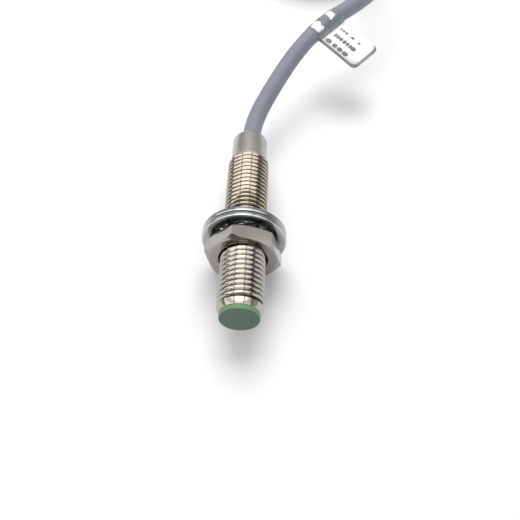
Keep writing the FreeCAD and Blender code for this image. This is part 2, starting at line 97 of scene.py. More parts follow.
# The cable's route from inside the barrel to the hank, the jacket's cut end inside the hank's
# loop, and the three leads that come out of it.
CABLE_ROUTE = [
    (0.0, 36.6, 0.0), (0.0, 42.2, 0.0), (0.8, 49.4, 0.6), (4.5, 57.4, 3.0), (9.3, 66.0, 5.8),
    (15.4, 74.7, 7.5), (24.4, 82.5, 8.7), (30.4, 90.6, 9.4), (31.7, 103.0, 9.65),
    (30.7, 114.0, 9.6), (30.45, 124.5, 9.65),
]
JACKET_END = [(5.0, 137.2, -5.15), (7.1, 133.4, -5.2), (10.4, 131.0, -5.4)]
LEADS = {
    "lead_brown": [(9.8, 130.7, -5.9), (13.4, 128.2, -6.9), (17.0, 127.2, -6.9),
                   (20.2, 129.0, -6.9)],
    "lead_blue": [(10.0, 131.2, -4.75), (13.9, 129.9, -6.6), (17.9, 131.0, -6.9),
                  (20.6, 134.2, -6.9)],
    "lead_black": [(10.4, 131.8, -5.9), (13.1, 133.0, -6.9), (15.5, 135.8, -6.9),
                   (16.0, 139.7, -6.9)],
}
LEAD_RADIUS = 0.55
TIP_RADIUS, TIP_LENGTH, TIP_STEPS = 0.3, 4.0, 17
STRANDS, STRAND_RADIUS, STRAND_SIDES = 7, 0.1, 8
# Turns that a strand makes along the tip, and how much shorter each is than the one before.
STRAND_TWIST, STRAND_SHORTER = 0.9, 0.02

# The label: a clear film wrapped round the cable, and the printed flag that it holds.
# It sits at this point of the route. The cable's line near it is taken this many points to each
# side, and cut into this many finer ones.
LABEL_BEND, LABEL_NEARBY, LABEL_FINE = 5, 8, 161
FLAG_DIRECTION = Vector((8.0, -5.2, -2.1))
FILM_LENGTH, FILM_THICK, FILM_RINGS = 8.7, 0.12, 15
# The film's two lips reach this far from the cable's line, and its ring is open by this angle
# to each side of them.
FILM_LIPS, FILM_OPENING, FILM_SIDES = 2.5, 40.0, 22
# The film's outer and inner skin: distance off the cable, and half the gap between the lips.
FILM_SKINS = ((FILM_THICK, 0.16), (0.04, 0.1))
# Painted highlights on the film: the middle and radius of each white spot of painted glare.
FILM_GLARE_SPOTS = (((14.0, 71.5, 8.9), 1.5), ((16.9, 75.2, 9.6), 1.2))
FLAG_REACH, FLAG_CORNER, FLAG_GAP, FLAG_CURL = 10.8, 1.3, 0.25, 0.35
BACKING_THICK, PAPER_THICK, PRINT_THICK = 0.13, 0.09, 0.02
PAPER_START, PAPER_INSET = 0.45, 0.6
SHEET_ROWS, SHEET_COLUMNS = 12, 5
# A printed blot has this many corners, and reaches this share of its size from its middle.
BLOT_CORNERS, BLOT_HALF = 16, 0.54
PRINT_START = 1.0
# Rows of blots: place along the cable, height, and each blot's place and width off the cable.
PRINT_ROWS = [
    (1.55, 1.15, (0.75, 2.6, 4.05, 5.6), (1.4, 1.15, 1.25, 1.4)),
    (4.0, 1.1, (0.75, 1.5, 2.35, 3.4, 4.3, 5.15, 6.0), (0.65, 0.7, 0.85, 0.85, 0.65, 0.75, 1.2)),
    (6.3, 0.6, (0.5, 1.25, 2.1, 3.9, 5.9), (0.5, 0.65, 0.75, 0.95, 0.6)),
]

# The hank: two straight sides and two half circles, wound in two columns and five layers.
HANK_X, HANK_NEAR, HANK_FAR = 15.55, 131.7, 148.1
HANK_BASE = -7.0
OUTER_COLUMN, INNER_COLUMN = 14.85, 11.15
LAYERS = 5
ARC_STEPS = 9
# Each half circle is pulled in by a random slack of up to this.
HANK_SEED, HANK_SLACK = 5, 0.35
TIE_WIDTH, TIE_THICK = 2.6, 0.5
TIE_HEAD, TIE_HEAD_DEPTH, TIE_HEAD_ROUNDING = 4.0, 2.0, 0.12
POCKET_RIM, POCKET_DEPTH = 0.45, 0.7
TIE_TAIL_RIDGES, RIDGE_PITCH, RIDGE_HEIGHT = 9, 0.34, 0.16
TIE_TAIL_THICK, TIE_TAIL_HALF_WIDTH, TIE_TAIL_SUNK = 0.45, 0.9, 0.9


# ---- node helpers ----


def new_material(name):
    """A new node material, its node tree and its Principled shader."""
    made = bpy.data.materials.new(name)
    made.use_nodes = True
    tree = made.node_tree
    shader = next(n for n in tree.nodes if n.type == "BSDF_PRINCIPLED")
    return made, tree, shader


def add(tree, kind, links=(), **settings):
    """Adds a node, sets its properties or its inputs by name or number, and links inputs."""
    made = tree.nodes.new(kind)
    for name, value in settings.items():
        if hasattr(made, name):
            setattr(made, name, value)
        else:
            made.inputs[name.replace("_", " ")].default_value = value
    for socket, source in dict(links).items():
        tree.links.new(source, made.inputs[socket])
    return made


def own_place(tree):
    """The place in the object's own coordinates."""
    return add(tree, "ShaderNodeTexCoord").outputs["Object"]


def noise(tree, scale, detail=3.0, roughness=0.5, stretch=None):
    """Noise in the object's own coordinates. scale is per metre; stretch scales each axis."""
    place = own_place(tree)
    if stretch:
        place = add(tree, "ShaderNodeMapping", {"Vector": place}, Scale=stretch).outputs["Vector"]
    made = add(tree, "ShaderNodeTexNoise", {"Vector": place}, Scale=scale, Detail=detail)
    made.inputs["Roughness"].default_value = roughness
    return made.outputs["Fac"]


def calculate(tree, operation, first, second):
    """A sum, product or the like of a socket and a socket or number."""
    made = add(tree, "ShaderNodeMath", {0: first}, operation=operation)
    if isinstance(second, float):
        made.inputs[1].default_value = second
    else:
        tree.links.new(second, made.inputs[1])
    return made.outputs[0]


def parts_of(tree, place):
    """The three parts of a place or direction, by name."""
    return add(tree, "ShaderNodeSeparateXYZ", {"Vector": place}).outputs


def from_axis(tree, place):
    """Distance from the Y axis, in metres."""
    flat = add(tree, "ShaderNodeVectorMath", {0: place}, operation="MULTIPLY")
    flat.inputs[1].default_value = (1.0, 0.0, 1.0)
    out = add(tree, "ShaderNodeVectorMath", {0: flat.outputs[0]}, operation="LENGTH")
    return out.outputs["Value"]


def spread(tree, value, low, high, start=0.3, end=0.7):
    """Maps value from start..end to low..high."""
    made = add(tree, "ShaderNodeMapRange", {"Value": value})
    for name, number in (("From Min", start), ("From Max", end), ("To Min", low), ("To Max", high)):
        made.inputs[name].default_value = number
    return made.outputs["Result"]


def blend_colours(tree, factor, first, second):
    """Mixes two colours by a factor."""
    made = add(tree, "ShaderNodeMix", {"Factor": factor}, data_type="RGBA")
    for socket, colour in (("A", first), ("B", second)):
        target = [s for s in made.inputs if s.name == socket and s.type == "RGBA"][0]
        if isinstance(colour, tuple):
            target.default_value = (*colour, 1.0)
        else:
            tree.links.new(colour, target)
    return [s for s in made.outputs if s.type == "RGBA"][0]


def bump(tree, shader, height, strength, distance, rounding=0.0):
    """Feeds a height into the shader's normal, over softly rounded edges if rounding is given."""
    made = add(tree, "ShaderNodeBump", {"Height": height}, Strength=strength, Distance=distance)
    if rounding:
        edge = add(tree, "ShaderNodeBevel", samples=6, Radius=rounding)
        tree.links.new(edge.outputs["Normal"], made.inputs["Normal"])
    tree.links.new(made.outputs["Normal"], shader.inputs["Normal"])


# ---- materials ----

# Noise that several finishes share: scale for each metre, detail and roughness.
STAINS, SMEARS, PITS = (260.0, 5.0, 0.6), (900.0, 4.0, 0.65), (5200.0, 3.0, 0.6)
ZINC_STAINS, TURNING = (300.0, 5.0, 0.6), (400.0, 16000.0, 400.0)
# Noise values between which stains fade in, and the height of pits and grain, in metres.
STAIN_FROM, STAIN_TO = 0.38, 0.68
SKIN = 0.00002
WARM_NICKEL, STAINED_NICKEL = (0.45, 0.432, 0.405), (0.385, 0.36, 0.33)
# REAR_NICKEL is the plate's warmer tone at the rear; the second colour is painted shade, near
# black, for the thread's roots.
REAR_NICKEL, PAINTED_ROOT_SHADE = (0.44, 0.395, 0.325), (0.045, 0.038, 0.032)


def metal(name, colour, worn, rough, rounding, turned=0.0):
    """Plated metal: slight stains, uneven gloss, fine pits, and turning marks round Y if asked."""
    made, tree, shader = new_material(name)
    shader.inputs["Metallic"].default_value = 1.0
    stain = spread(tree, noise(tree, *STAINS), 0.0, 1.0, STAIN_FROM, STAIN_TO)
    tree.links.new(blend_colours(tree, stain, colour, worn), shader.inputs["Base Color"])
    smear = spread(tree, noise(tree, *SMEARS), rough * 0.8, rough * 1.35)
    tree.links.new(smear, shader.inputs["Roughness"])
    grain = noise(tree, *PITS)
    if turned:
        grain = calculate(tree, "ADD", grain, noise(tree, 1.0, 2.0, 0.7, TURNING))
    bump(tree, shader, grain, 0.12 + turned, SKIN, rounding)
    return made


def thread_nickel():
    """Bright nickel plate with painted shade in the thread's roots, reaching higher at the sides
    and at the rear.
    """
    made, tree, shader = new_material("nickel_thread")
    shader.inputs["Metallic"].default_value = 1.0
    place = own_place(tree)
    axes = parts_of(tree, place)
    wobble = spread(tree, noise(tree, 1400.0, 3.0, 0.6), -0.03 * MM, 0.03 * MM)
    reach = calculate(tree, "ADD", from_axis(tree, place), wobble)
    side = calculate(tree, "MULTIPLY", axes["X"], axes["X"])
    reach = calculate(tree, "SUBTRACT", reach, calculate(tree, "MULTIPLY", side, SIDE_PAINTED_ROOT_SHADE / MM))
    rear_from, rear_to = (y * MM for y in REAR_PART)
    rear = spread(tree, axes["Y"], 0.0, REAR_PAINTED_ROOT_SHADE * MM, rear_from, rear_to)
    reach = calculate(tree, "SUBTRACT", reach, rear)
    # A mask of painted shade: 1 near the thread's roots, fading out above them.
    deep = spread(tree, reach, 1.0, 0.0, *((ROOT + height) * MM for height in PAINTED_ROOT_SHADE_EDGE))
    threaded = spread(tree, axes["Y"], 0.0, 1.0, *(y * MM for y in FRONT_LAND_END))
    painted_root_shade = calculate(tree, "MULTIPLY", deep, threaded)
    stain = spread(tree, noise(tree, *STAINS), 0.0, 1.0, STAIN_FROM, STAIN_TO)
    plate = blend_colours(tree, stain, WARM_NICKEL, STAINED_NICKEL)
    warm = spread(tree, axes["Y"], 0.0, 1.0, rear_from, rear_to)
    plate = blend_colours(tree, warm, plate, REAR_NICKEL)
    # The roots are painted dark as shade over the plate.
    tree.links.new(blend_colours(tree, painted_root_shade, plate, PAINTED_ROOT_SHADE), shader.inputs["Base Color"])
    tree.links.new(spread(tree, noise(tree, *SMEARS), 0.04, 0.075), shader.inputs["Roughness"])
    bump(tree, shader, noise(tree, *PITS), 0.08, SKIN)
    return made


def zinc():
    """Zinc-plated washers: grey faces with a painted highlight along their outer edges, and a
    darker rim.
    """
    made, tree, shader = new_material("zinc_plate")
    shader.inputs["Metallic"].default_value = 1.0
    reach = from_axis(tree, own_place(tree))
    rim = spread(tree, reach, 0.0, 1.0, (WASHER_RADIUS - 0.03) * MM, (WASHER_RADIUS - 0.01) * MM)
    stain = spread(tree, noise(tree, *ZINC_STAINS), 0.0, 1.0, STAIN_FROM, STAIN_TO)
    face = blend_colours(tree, stain, (0.42, 0.44, 0.45), (0.34, 0.36, 0.38))
    edge = blend_colours(tree, stain, (0.27, 0.295, 0.31), (0.19, 0.21, 0.225))
    # The lighter band over the faces' rounded outer edges is a painted highlight, a bright line
    # along each edge.
    painted_edge_highlight = spread(tree, reach, 0.0, 1.0, (WASHER_RADIUS - 0.3) * MM, (WASHER_RADIUS - 0.2) * MM)
    face = blend_colours(tree, painted_edge_highlight, face, (0.56, 0.58, 0.575))
    tree.links.new(blend_colours(tree, rim, face, edge), shader.inputs["Base Color"])
    tree.links.new(spread(tree, noise(tree, *SMEARS), 0.13, 0.24), shader.inputs["Roughness"])
    bump(tree, shader, noise(tree, *PITS), 0.25, SKIN)
    return made


def plastic(name, colour, shade, rough, grain=3000.0, depth=SKIN, strength=0.3):
    """Moulded or extruded plastic: faint mottling, uneven gloss and a fine skin."""
    made, tree, shader = new_material(name)
    patch = spread(tree, noise(tree, 180.0, 4.0, 0.6), 0.0, 1.0)
    tree.links.new(blend_colours(tree, patch, colour, shade), shader.inputs["Base Color"])
    gloss = spread(tree, noise(tree, 700.0), rough * 0.85, rough * 1.2)
    tree.links.new(gloss, shader.inputs["Roughness"])
    bump(tree, shader, noise(tree, grain, 4.0, 0.6), strength, depth, 0.08 * MM)
    return made


def near_spot(tree, centre, radius):
    """1 inside a soft, uneven spot about a place in millimetres, 0 outside it."""
    shift = add(tree, "ShaderNodeVectorMath", {0: own_place(tree)}, operation="SUBTRACT")
    shift.inputs[1].default_value = tuple(c * MM for c in centre)
    far = add(tree, "ShaderNodeVectorMath", {0: shift.outputs[0]}, operation="LENGTH")
    rough = spread(tree, noise(tree, 900.0, 2.0), -0.35 * radius * MM, 0.35 * radius * MM)
    edge = calculate(tree, "ADD", far.outputs["Value"], rough)
    return spread(tree, edge, 1.0, 0.0, 0.75 * radius * MM, 1.15 * radius * MM)


def clear_film():
    """Glossy clear film with two white spots of painted glare, painted highlights in its colour."""
    made, tree, shader = new_material("clear_film")
    # Two white spots are painted highlights: glare painted into the film's colour and made opaque.
    painted_glare = calculate(tree, "MAXIMUM", *(near_spot(tree, *spot) for spot in FILM_GLARE_SPOTS))
    tint = blend_colours(tree, painted_glare, (0.28, 0.33, 0.32), (0.97, 0.97, 0.98))
    tree.links.new(tint, shader.inputs["Base Color"])
    haze = spread(tree, noise(tree, 650.0), 0.12, 0.5)
    tree.links.new(calculate(tree, "MAXIMUM", painted_glare, haze), shader.inputs["Alpha"])
    shader.inputs["IOR"].default_value = 1.5
    shader.inputs["Coat Weight"].default_value = 1.0
    shader.inputs["Coat Roughness"].default_value = 0.05
    tree.links.new(spread(tree, noise(tree, 500.0), 0.08, 0.2), shader.inputs["Roughness"])
    bump(tree, shader, noise(tree, 420.0, 2.0), 0.5, 0.2 * MM)
    return made


def cap_plastic():
    """Green sensing cap: one plastic in two colours, with painted shade that makes its flat matt
    face darker and greyer than the moulded rim round it.
    """
    made, tree, shader = new_material("sensing_cap_green")
    rim = spread(tree, parts_of(tree, own_place(tree))["Y"], 0.0, 1.0, 0.05 * MM, 0.3 * MM)
    patch = spread(tree, noise(tree, 500.0, 4.0, 0.6), 0.0, 1.0)
    # The face's colours are painted shade on the upright face; the rim's lighter colours stand for
    # the same plastic lit from above.
    face = blend_colours(tree, patch, (0.060, 0.112, 0.082), (0.067, 0.121, 0.089))
    edge = blend_colours(tree, patch, (0.112, 0.215, 0.108), (0.125, 0.235, 0.118))
    tree.links.new(blend_colours(tree, rim, face, edge), shader.inputs["Base Color"])
    tree.links.new(spread(tree, noise(tree, 900.0), 0.42, 0.58), shader.inputs["Roughness"])
    bump(tree, shader, noise(tree, 4200.0, 4.0, 0.6), 0.35, SKIN, 0.12 * MM)
    return made


MATERIALS = {
    "nickel_plated_brass": metal("nickel_plate", (0.39, 0.372, 0.352), (0.325, 0.308, 0.288),
                                 0.055, 0.00003, turned=0.02),
    "zinc_plated_steel": zinc(),
    "green_plastic": cap_plastic(),
    "black_plastic": plastic("black_plastic", (0.02, 0.02, 0.021), (0.03, 0.03, 0.031), 0.45),
    "ferrite": plastic("ferrite", (0.045, 0.045, 0.05), (0.07, 0.07, 0.07), 0.6,
                       grain=6000.0, depth=2 * SKIN, strength=0.6),
    "copper_wire": metal("enamelled_copper", (0.72, 0.31, 0.13), (0.50, 0.19, 0.08),
                         0.28, 0.00002, turned=0.5),
    "board_laminate": plastic("board_laminate", (0.015, 0.13, 0.05), (0.02, 0.17, 0.07), 0.35),
    "component_black": plastic("component_black", (0.018, 0.018, 0.02), (0.03, 0.03, 0.03), 0.5),
    "ceramic_tan": plastic("ceramic_tan", (0.40, 0.27, 0.15), (0.46, 0.33, 0.20), 0.45),
    "potting_resin": plastic("potting_resin", (0.016, 0.014, 0.012), (0.03, 0.026, 0.022), 0.22),
    "insulation_brown": plastic("insulation_brown", (0.13, 0.05, 0.022), (0.16, 0.065, 0.03), 0.4),
    "insulation_blue": plastic("insulation_blue", (0.02, 0.09, 0.36), (0.03, 0.12, 0.42), 0.4),
    "insulation_black": plastic("insulation_black", (0.015, 0.015, 0.016),
                                (0.025, 0.025, 0.026), 0.4),
    "cable_grey": plastic("cable_grey", (0.178, 0.188, 0.232), (0.198, 0.21, 0.256), 0.5,
                          grain=2600.0),
    "rubber_black": plastic("rubber_black", (0.014, 0.014, 0.014), (0.022, 0.022, 0.022), 0.7),
    "tie_black": plastic("tie_black", (0.016, 0.016, 0.017), (0.024, 0.024, 0.025), 0.38),
    "tinned_copper": metal("tinned_copper", (0.78, 0.77, 0.74), (0.62, 0.60, 0.56), 0.3, 0.00003),
    "clear_film": clear_film(),
    "label_paper": plastic("label_paper", (0.86, 0.86, 0.86), (0.82, 0.82, 0.83), 0.35),
}
THREAD_NICKEL = thread_nickel()
SATIN_NICKEL = metal("satin_nickel", (0.43, 0.42, 0.40), (0.40, 0.385, 0.36), 0.22, 0.00004)
# The label backing's grey is painted shade: a dark band that shows along the paper's lower and far
# edges.
LABEL_BACKING_AND_SHADE = plastic("label_backing_and_shade", (0.20, 0.20, 0.21), (0.27, 0.27, 0.28), 0.3)
LABEL_INK = plastic("label_ink", (0.085, 0.08, 0.09), (0.20, 0.19, 0.20), 0.5)


def dress(piece, slot):
    """Gives a piece its slot and that slot's finish."""
    piece.data.materials.append(MATERIALS[slot])
    return piece


def dress_cad_nodes():
    """Gives every CAD node the finish of its record slot."""
    for row in frame["record"]["subparts"]:
        for place in NODES[row["node"]].material_slots:
            place.material = MATERIALS[row["material_slot"]]


# ---- cable, hank and leads ----


def hank_turns():
    """Radius and height of each turn: across one layer, down one, and back across."""
    turns = []
    for i in range(LAYERS):
        height = HANK_BASE + CABLE_RADIUS + 2 * CABLE_RADIUS * (LAYERS - 1 - i)
        order = (OUTER_COLUMN, INNER_COLUMN) if i % 2 == 0 else (INNER_COLUMN, OUTER_COLUMN)
        turns += [(radius, height) for radius in order]
    return turns


def hank_points():
    """Control points of the wound turns, each moving to the next one's place at the near end."""
    rng = random.Random(HANK_SEED)
    points = []
    turns = hank_turns()
    run = HANK_FAR - HANK_NEAR
    for i, (radius, z) in enumerate(turns):
        last = i == len(turns) - 1
        slack = rng.uniform(0.0, HANK_SLACK)
        points += [(HANK_X + radius, HANK_NEAR + run * share, z) for share in (0.33, 0.67)]
        for step in range(ARC_STEPS + 1):
            angle = math.pi * step / ARC_STEPS
            pull = slack * math.sin(angle)
            points.append((HANK_X + radius * math.cos(angle),
                           HANK_FAR + (radius - pull) * math.sin(angle), z))
        points += [(HANK_X - radius, HANK_NEAR + run * share, z) for share in (0.67, 0.48)]
        if last:
            break
        points.append((HANK_X - radius, HANK_NEAR + run * 0.25, z))
        to_radius, to_z = turns[i + 1]
        slack = rng.uniform(0.0, HANK_SLACK)
        for step in range(ARC_STEPS + 1):
            share = step / ARC_STEPS
            angle = math.pi * (1 + share)
            ease = share * share * (3 - 2 * share)
            here = radius + (to_radius - radius) * ease
            pull = slack * math.sin(math.pi * share)
            points.append((HANK_X + here * math.cos(angle),
                           HANK_NEAR + (here - pull) * math.sin(angle), z + (to_z - z) * ease))
    return points


def tube(name, points, radius, resolution=6):
    """A round curve piece along control points in millimetres."""
    data = bpy.data.curves.new(name, "CURVE")
    data.dimensions = "3D"
    line = data.splines.new("NURBS")
    line.points.add(len(points) - 1)
    for point, place in zip(line.points, points):
        point.co = (*(c * MM for c in place), 1.0)
    line.order_u = 3
    line.use_endpoint_u = True
    line.resolution_u = resolution
    data.bevel_depth = radius * MM
    data.bevel_resolution = 8
    data.use_fill_caps = True
    made = bpy.data.objects.new(name, data)
    bpy.context.scene.collection.objects.link(made)
    return made


def centreline(piece):
    """Points along a curve piece's own line, in metres."""
    bare = piece.copy()
    bare.data = piece.data.copy()
    bare.data.bevel_depth = 0.0
    bpy.context.scene.collection.objects.link(bare)
    bpy.context.view_layer.update()
    view = bpy.context.evaluated_depsgraph_get()
    line = bpy.data.meshes.new_from_object(bare.evaluated_get(view))
    spots = [v.co.copy() for v in line.vertices]
    bpy.data.meshes.remove(line)
    bpy.data.objects.remove(bare)
    return spots


def make_cable():
    """The whole cable as one line: out of the barrel, up and over to the hank, and round it."""
    route = CABLE_ROUTE + hank_points() + JACKET_END
    made = dress(tube("cable_jacket", route, CABLE_RADIUS, resolution=8), "cable_grey")
    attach(made, "sensor")
    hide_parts("cable_run", "cable_hank", "cable_end")
    return made


def make_leads():
    """The three insulated leads."""
    made = []
    for name, points in LEADS.items():
        lead = dress(tube(f"{name}_wire", points, LEAD_RADIUS), name.replace("lead", "insulation"))
        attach(lead, "sensor")
        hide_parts(name)
        made.append(lead)
    return made


# ---- mesh helpers ----


def mesh_piece(name, corners, faces, smooth=True, weld=0.0):
    """A mesh piece from corners in metres and faces of corner numbers, which it turns outwards."""
    data = bpy.data.meshes.new(name)
    data.from_pydata([tuple(c) for c in corners], [], faces)
    body = bmesh.new()
    body.from_mesh(data)
    if weld:
        bmesh.ops.remove_doubles(body, verts=body.verts, dist=weld)
        stray = [v for v in body.verts if not v.link_faces]
        bmesh.ops.delete(body, geom=stray, context="VERTS")
    bmesh.ops.recalc_face_normals(body, faces=body.faces)
    body.to_mesh(data)
    body.free()
    for face in data.polygons:
        face.use_smooth = smooth
    made = bpy.data.objects.new(name, data)
    bpy.context.scene.collection.objects.link(made)
    return made


def rings_to_faces(rings, around, closed=False, caps=True):
    """Quads between rings of corners, joined at the ends if closed, or else capped."""
    faces = []
    for i in range(rings if closed else rings - 1):
        here, there = i * around, (i + 1) % rings * around
        for j in range(around):
            k = (j + 1) % around
            faces.append((here + j, here + k, there + k, there + j))
    if caps and not closed:
        faces += [tuple(range(around)), tuple((rings - 1) * around + j for j in range(around))]
    return faces


def shifted(faces, first):
    """Faces whose corner numbers start at first."""
    return [tuple(first + n for n in face) for face in faces]


def round_y(radius, y, angle):
    """A corner in metres, from its radius and place along the Y axis, and its angle round it."""
    return radius * math.sin(angle) * MM, y * MM, radius * math.cos(angle) * MM


def spaced(points, count):
    """Points evenly spaced along a line of points."""
    lengths = [0.0]
    for before, here in zip(points, points[1:]):
        lengths.append(lengths[-1] + (here - before).length)
    spots, i = [], 0
    for step in range(count):
        goal = lengths[-1] * step / (count - 1)
        while i < len(points) - 2 and lengths[i + 1] < goal:
            i += 1
        span = lengths[i + 1] - lengths[i]
        spots.append(points[i].lerp(points[i + 1], (goal - lengths[i]) / span))
    return spots


# ---- barrel ----


def make_barrel():
    """The barrel with a helical thread of rounded crests, from its chamfered nose to its tail."""
    steps, per = BARREL_STEPS, len(THREAD_SHAPE)
    turns = math.ceil(THREAD_TO - THREAD_ZERO) + 1
    corners = []
    for i in range(-steps, turns * steps + 1):
        angle = 2 * math.pi * i / steps
        for share, height in THREAD_SHAPE:
            y = min(max(THREAD_ZERO + PITCH * (i / steps + share), THREAD_FROM), THREAD_TO)
            radius = ROOT + (CREST - ROOT) * height
            radius = min(radius, RELIEF + RUN_OUT * (y - THREAD_FROM),
                         RELIEF + RUN_OUT * (THREAD_TO - y))
            corners.append(round_y(radius, y, angle))
    last_row = (turns + 1) * steps
    faces = []
    for i in range(last_row):
        for j in range(per - 1):
            here, there = i * per + j, (i + 1) * per + j
            faces.append((here, here + 1, there + 1, there))
        if i + steps < last_row:
            here, there = i * per + per - 1, (i + 1) * per + per - 1
            faces.append((here, (i + steps) * per, (i + steps + 1) * per, there))
    arc = [math.pi / 2 * i / 6 for i in range(7)]
    hub = (TAIL_RADIUS - TAIL_ROUNDING, TAIL_END - TAIL_ROUNDING)
    rounded = [(hub[0] + TAIL_ROUNDING * math.cos(a), hub[1] + TAIL_ROUNDING * math.sin(a))
               for a in arc]
    for outline in ([*FRONT_OF_BARREL, (RELIEF, THREAD_FROM)],
                    TAIL + rounded + BORE + FRONT_OF_BARREL[:1]):
        first = len(corners)
        for radius, y in outline:
            corners += [round_y(radius, y, 2 * math.pi * i / steps) for i in range(steps)]
        faces += shifted(rings_to_faces(len(outline), steps, caps=False), first)
    barrel = mesh_piece("barrel_body", corners, faces, weld=WELD * MM)
    barrel.data.set_sharp_from_angle(angle=math.radians(35))
    for finish in (THREAD_NICKEL, SATIN_NICKEL):
        barrel.data.materials.append(finish)
    for face in barrel.data.polygons:
        face.material_index = int(face.center.y > THREAD_TO * MM)
    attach(barrel, "sensor")
    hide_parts("threaded_barrel")


# ---- lock washers ----


def make_washer(node, body):
    """A lock washer: a ring with rounded edges and ten twisted teeth inside it."""
    middle = (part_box(node)[0][1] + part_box(node)[1][1]) / 2 / MM
    low, high = middle - WASHER_THICK / 2, middle + WASHER_THICK / 2
    outline = []
    for radius, y, toward, along in ((WASHER_RADIUS, low, -1, 1), (WASHER_RADIUS, high, -1, -1),
                                     (WASHER_BORE, high, 1, -1), (WASHER_BORE, low, 1, 1)):
        edge = WASHER_EDGE if toward == -1 else WASHER_EDGE / 2
        arc = [math.pi / 2 * i / 4 for i in range(5)]
        turn = [(radius + toward * edge * (1 - math.cos(a)), y + along * edge * (1 - math.sin(a)))
                for a in arc]
        outline += turn[::-1] if toward != along else turn
    corners = [round_y(radius, y, 2 * math.pi * i / WASHER_STEPS)
               for i in range(WASHER_STEPS) for radius, y in outline]
    faces = rings_to_faces(WASHER_STEPS, len(outline), closed=True)
    for k in range(TOOTH_COUNT):
        angle = math.radians(TOOTH_FIRST + 360 * k / TOOTH_COUNT)
        out = Vector((math.sin(angle), 0, math.cos(angle)))
        twist = Matrix.Rotation(math.radians(TOOTH_TWIST), 3, out)
        side, up = twist @ out.cross(Vector((0, 1, 0))), twist @ Vector((0, 1, 0))
        first = len(corners)
        for reach, half in TOOTH_SECTIONS:
            for across, lift in ((-1, -1), (1, -1), (1, 1), (-1, 1)):
                spot = out * reach + side * (half * across) + up * (TOOTH_HALF_THICK * lift)
                corners.append((spot + Vector((0, middle, 0))) * MM)
        faces += shifted(rings_to_faces(len(TOOTH_SECTIONS), 4), first)
    washer = dress(mesh_piece(f"{body}_ring", corners, faces), "zinc_plated_steel")
    washer.data.set_sharp_from_angle(angle=math.radians(40))
    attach(washer, body)
    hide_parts(node)


# ---- label ----


def label_frame():
    """The flag's directions along the cable, away from it, and off its printed side."""
    before, after = (Vector(CABLE_ROUTE[LABEL_BEND + i]) for i in (-1, 1))
    along = (after - before).normalized()
    away = (FLAG_DIRECTION - along * FLAG_DIRECTION.dot(along)).normalized()
    return along, away, away.cross(along)


def label_spots(cable):
    """Points of the cable's line that the film covers, in millimetres, and the middle one."""
    line = [spot / MM for spot in centreline(cable)]
    aim = Vector(CABLE_ROUTE[LABEL_BEND])
    near = min(range(len(line)), key=lambda i: (line[i] - aim).length)
    nearby = spaced(line[near - LABEL_NEARBY:near + LABEL_NEARBY + 1], LABEL_FINE)
    middle = min(range(len(nearby)), key=lambda i: (nearby[i] - aim).length)
    along = label_frame()[0]
    covered = [spot for spot in nearby
               if abs((spot - nearby[middle]).dot(along)) <= FILM_LENGTH / 2]
    return spaced(covered, FILM_RINGS), nearby[middle]


def make_film(cable):
    """Clear film: round the cable, then drawn together on the side where it grips the flag."""
    spots, _ = label_spots(cable)
    _, away, up = label_frame()
    opening = math.radians(FILM_OPENING)
    span = 2 * math.pi - 2 * opening
    arc = [opening + span * i / FILM_SIDES for i in range(FILM_SIDES + 1)]
    outline = []
    for inside, (lift, gap) in enumerate(FILM_SKINS):
        radius = CABLE_RADIUS + lift
        ring = [away * radius * math.cos(a) + up * radius * math.sin(a) for a in arc]
        ring = [away * FILM_LIPS + up * gap] + ring + [away * FILM_LIPS - up * gap]
        outline += ring[::-1] if inside else ring
    corners = [(spot + place) * MM for spot in spots for place in outline]
    film = dress(mesh_piece("clear_film_wrap", corners, rings_to_faces(len(spots), len(outline))),
                 "clear_film")
    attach(film, "sensor")
    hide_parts("label_film")
    return film


def sheet(name, place, low, start, end, base, thick):
    """A thin sheet laid over place(), from low to the film's end along the cable and from start
    to end off it, with its far corners rounded."""
    corners, per = [], SHEET_COLUMNS
    for i in range(SHEET_ROWS + 1):
        share = i / SHEET_ROWS
        v = start + (end - start) * (1 - (1 - share) ** 1.6)
        past = max(0.0, v - (end - FLAG_CORNER))
        pull = FLAG_CORNER - math.sqrt(max(FLAG_CORNER ** 2 - past ** 2, 0.0))
        pull = min(pull, (FILM_LENGTH - low) / 2 - 0.05)
        across = [low + pull + (FILM_LENGTH - low - 2 * pull) * j / (per - 1) for j in range(per)]
        corners += [place(u, v, base) * MM for u in across]
        corners += [place(u, v, base + thick) * MM for u in reversed(across)]
    return mesh_piece(name, corners, rings_to_faces(SHEET_ROWS + 1, 2 * per))


